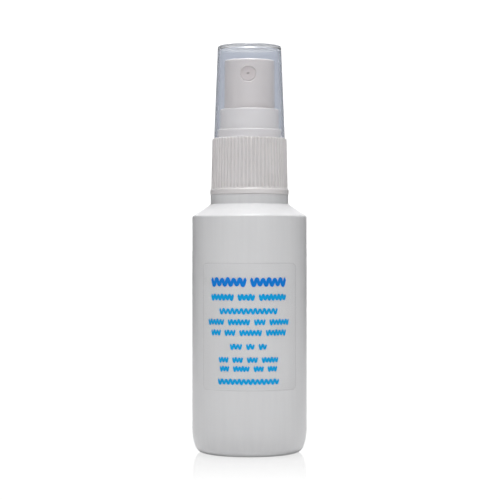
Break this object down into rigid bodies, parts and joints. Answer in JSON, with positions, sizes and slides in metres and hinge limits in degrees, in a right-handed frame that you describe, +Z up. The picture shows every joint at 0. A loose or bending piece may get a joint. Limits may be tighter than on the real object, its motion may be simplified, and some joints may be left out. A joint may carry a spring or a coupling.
{
  "type": "lens cleaning spray",
  "caption": "Round translucent plastic bottle of lens cleaning fluid with a clear front label, a ribbed screw-on fine mist pump, a finger button and a clear push-on overcap.",
  "frame": {"origin": "centre of the circle the bottle stands on, on the bottle's axis", "axes": "+Z up along the axis of the bottle and the pump; -Y is the front, towards the nozzle and the label; +X to the right seen from the front"},
  "size_m": [0.0356, 0.0356, 0.1263],
  "materials": {
    "bottle_hdpe": "satin translucent natural HDPE",
    "fluid": "clear liquid",
    "label_film": "clear gloss film",
    "white_plastic": "white polypropylene, semi-gloss",
    "clear_cap": "clear polypropylene with a slight haze",
    "insert_plastic": "white acetal",
    "natural_plastic": "natural polypropylene",
    "gasket_foam": "white foamed polyethylene",
    "spring_steel": "drawn stainless wire",
    "ball_steel": "polished stainless steel",
    "tube_plastic": "natural polyethylene tube"
  },
  "bodies": {
    "bottle": {"bottle": "bottle_hdpe", "cleaning_fluid": "fluid", "front_label": "label_film"},
    "pump": {"pump_housing": "natural_plastic", "lock_cap": "white_plastic", "neck_gasket": "gasket_foam", "dip_tube": "tube_plastic", "return_spring": "spring_steel"},
    "closure": {"screw_closure": "white_plastic"},
    "overcap": {"overcap": "clear_cap"},
    "plunger": {"stem": "white_plastic", "valve_rod": "natural_plastic"},
    "piston": {"piston": "natural_plastic"},
    "button": {"actuator": "white_plastic", "nozzle_insert": "insert_plastic"},
    "inlet_ball": {"inlet_ball": "ball_steel"}
  },
  "joints": [
    {"name": "pump_lift", "type": "slide", "parent": "bottle", "child": "pump", "axis": [0, 0, 1], "range_m": [0, 0.0048]},
    {"name": "closure_turn", "type": "hinge", "parent": "pump", "child": "closure", "pos_m": [0, 0, 0.09], "axis": [0, 0, 1], "range_deg": [0, 540]},
    {"name": "overcap_lift", "type": "slide", "parent": "closure", "child": "overcap", "axis": [0, 0, 1], "range_m": [0, 0.032]},
    {"name": "button_press", "type": "slide", "parent": "pump", "child": "plunger", "axis": [0, 0, -1], "range_m": [0, 0.0045], "stiffness_N_per_m": 1500, "springref_m": -0.0032, "deforming": ["return_spring"]},
    {"name": "piston_slip", "type": "slide", "parent": "plunger", "child": "piston", "axis": [0, 0, 1], "range_m": [0, 0.0006]},
    {"name": "button_turn", "type": "hinge", "parent": "plunger", "child": "button", "pos_m": [0, 0, 0.11], "axis": [0, 0, 1], "continuous": true},
    {"name": "inlet_ball_lift", "type": "slide", "parent": "pump", "child": "inlet_ball", "axis": [0, 0, 1], "range_m": [0, 0.0012]}
  ],
  "couplings": [
    {"joint": "pump_lift", "follows": "closure_turn", "m_per_rad": 0.00050532}
  ]
}
